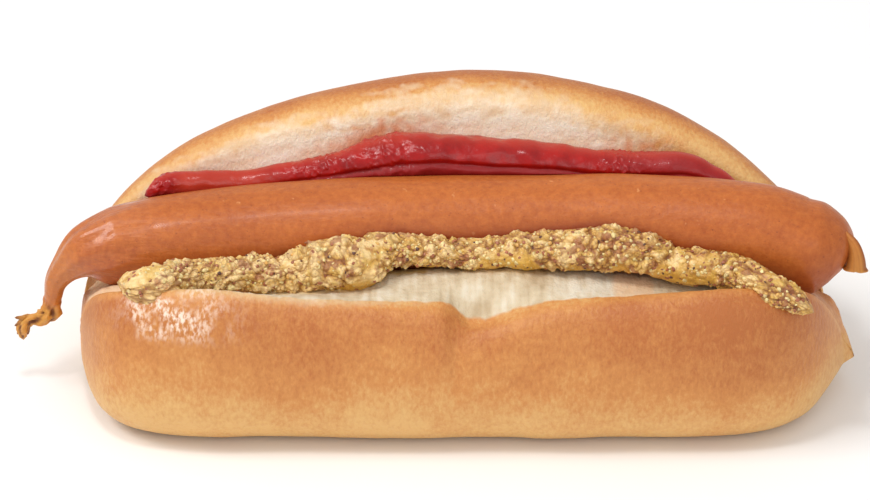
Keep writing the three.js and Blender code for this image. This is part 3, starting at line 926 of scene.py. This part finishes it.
def buildGrains(name, count, sizes, flatness, sink, colour, rough):
    # one small ball, copied to seeded places on the paste and joined
    ball = bmesh.new()
    bmesh.ops.create_icosphere(ball, subdivisions=2, radius=mm)
    foot = ball.verts.layers.float.new("foot")
    for vert in ball.verts:
        # each grain darkens towards its foot: painted shade where it sinks into the paste
        vert[foot] = 1 - smooth(vert.co.z / mm, -0.35, 0.45)
        vert.co *= 1 + 0.3 * noise.noise(vert.co / mm * 1.3)
    template = bpy.data.meshes.new("grainBall")
    ball.to_mesh(template)
    ball.free()
    chance = random.Random(name)
    grains = bmesh.new()
    for k in range(count):
        share = mustardBead.shareAt(0.012 + 0.976 * (k + chance.random()) / count)
        angle = math.radians(chance.uniform(50, 236))
        size = chance.uniform(*sizes)
        ahead, side, up = mustardBead.frameAt(share)
        away = side * math.cos(angle) + up * math.sin(angle)
        sunk = size * flatness * chance.uniform(*sink)
        reach = mustardReach(share, angle, mustardBead.radiusAt(share))[0] - sunk
        point = mustardBead.centreAt(share) + away * reach
        if (offSausage(point, 0.2) - point).length > 0.01:
            continue
        facing = away.to_track_quat("Z", "X").to_matrix().to_4x4()
        spun = Matrix.Rotation(chance.uniform(0, 6.28), 4, "Z")
        tilted = Matrix.Rotation(chance.uniform(-0.5, 0.5), 4, "X")
        stretched = Matrix.Diagonal((size, size * chance.uniform(0.55, 1.0), size * flatness, 1.0))
        copy = template.copy()
        copy.transform(Matrix.Translation(toFrame(*point)) @ facing @ spun @ tilted @ stretched)
        grains.from_mesh(copy)
        bpy.data.meshes.remove(copy)
    bpy.data.meshes.remove(template)
    return finishPiece(grains, name, grainMaterial(name, colour, rough))


ketchupMesh = {
    "along": 560, "around": 100, "dent": 0.17, "dentAngle": 3.02, "dentWidth": 0.14,
    "wave": 0.07, "bubble": 0.6,
}
# x and half-width of the stretches with small bubbles
ketchupBubbles = [(-61, 3), (-28, 7), (-16, 6), (32, 5)]


def ketchupReach(share, angle, radius):
    x = ketchupBead.centreAt(share).x
    y, z = radius * math.cos(angle), radius * math.sin(angle)
    wave = ketchupMesh["wave"] * (noiseAt(x, y, z, 6) * 1.5 + noiseAt(x + 30, y, z, 2.6))
    bend = ketchupMesh["dentAngle"] + 0.12 * noiseAt(x, 0, 0, 12)
    dent = ketchupMesh["dent"] * bell(angle - bend, ketchupMesh["dentWidth"]) * smooth(radius, 2, 4)
    # below the dent the ribbon faces down towards the sausage; the material paints it darker, painted shade
    low = smooth(angle, bend - 0.1, bend + 0.15) * (1 - smooth(angle, 5.2, 5.8))
    low = max(low, 0.6 * smooth(x, 28, 36))
    bubbly = max(bell(x - centre, width) for centre, width in ketchupBubbles)
    bubble = ketchupMesh["bubble"] * bubbly * max(0, noiseAt(x, y, z, 0.85))
    thin = max(0.8 * smooth(-x, 33, 44) * (1 - smooth(-x, 56, 60)), 0.7 * bell(angle - 1.5, 0.45))
    return radius * (1.01 + wave - dent) + bubble, low, thin


def buildKetchup():
    bm = beadGrid(ketchupBead, ketchupMesh["along"], ketchupMesh["around"], ketchupReach, ["low", "thin"])
    for vert in bm.verts:
        vert.co = toFrame(*offSausage(vert.co / mm - shift, 0.02))
    piece = finishPiece(bm, "ketchupRibbon", ketchupMaterial())
    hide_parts("ketchup")
    return piece


buildBun()
buildSausage()
buildMustard()
buildKetchup()
print("food built")

studio = {
    "floor": tint(248, 247, 245), "world": 0.7,
    "keyPower": 12.0, "keySize": 0.7, "key": (-1.1, -0.25, 1.4),
    "sparkPower": 0.35, "sparkSize": 0.06, "spark": (-0.09, -0.12, 0.41),
    "fillPower": 5.0, "fillSize": 1.0, "fill": (0.5, -1.5, 1.0),
    "elevation": 30.0, "distance": 1500.0, "across": -6.0, "upright": 25.8, "depth": 12.0,
    "width": 174.0,
}


def aimed(lamp, target):
    lamp.rotation_euler = (Vector(target) - lamp.location).to_track_quat("-Z", "Y").to_euler()


def addLamp(name, power, size, place):
    data = bpy.data.lights.new(name, "AREA")
    data.energy, data.size = power, size
    lamp = bpy.data.objects.new(name, data)
    bpy.context.scene.collection.objects.link(lamp)
    lamp.location = place
    aimed(lamp, (0, 0, 0.03))
    return lamp


def buildStudio():
    scene = bpy.context.scene
    bm = bmesh.new()
    bmesh.ops.create_grid(bm, x_segments=1, y_segments=1, size=3)
    data = bpy.data.meshes.new("floor")
    bm.to_mesh(data)
    bm.free()
    floor = bpy.data.objects.new("floor", data)
    scene.collection.objects.link(floor)
    material, tree, shader = newMaterial("floorPaper", {"Base Color": studio["floor"], "Roughness": 0.9})
    data.materials.append(material)
    world = bpy.data.worlds.new("studioWorld")
    world.use_nodes = True
    world.node_tree.nodes["Background"].inputs["Color"].default_value = (1, 1, 1, 1)
    world.node_tree.nodes["Background"].inputs["Strength"].default_value = studio["world"]
    scene.world = world
    for name in ("key", "spark", "fill"):
        addLamp(name + "Lamp", studio[name + "Power"], studio[name + "Size"], studio[name])
    scene.view_settings.view_transform = "Standard"


def buildCamera():
    angle = math.radians(studio["elevation"])
    ahead = Vector((0, math.cos(angle), -math.sin(angle)))
    upward = Vector((0, math.sin(angle), math.cos(angle)))
    centre = Vector((studio["across"], 0, 0)) + upward * studio["upright"] - ahead * studio["depth"]
    data = bpy.data.cameras.new("photoCamera")
    data.sensor_width = 36
    data.lens = 36 * studio["distance"] / studio["width"]
    data.clip_end = 20
    camera = bpy.data.objects.new("photoCamera", data)
    bpy.context.scene.collection.objects.link(camera)
    camera.location = toFrame(*(centre - ahead * studio["distance"]))
    camera.rotation_euler = ahead.to_track_quat("-Z", "Y").to_euler()
    bpy.context.scene.camera = camera


buildStudio()
buildCamera()
print("studio ready")
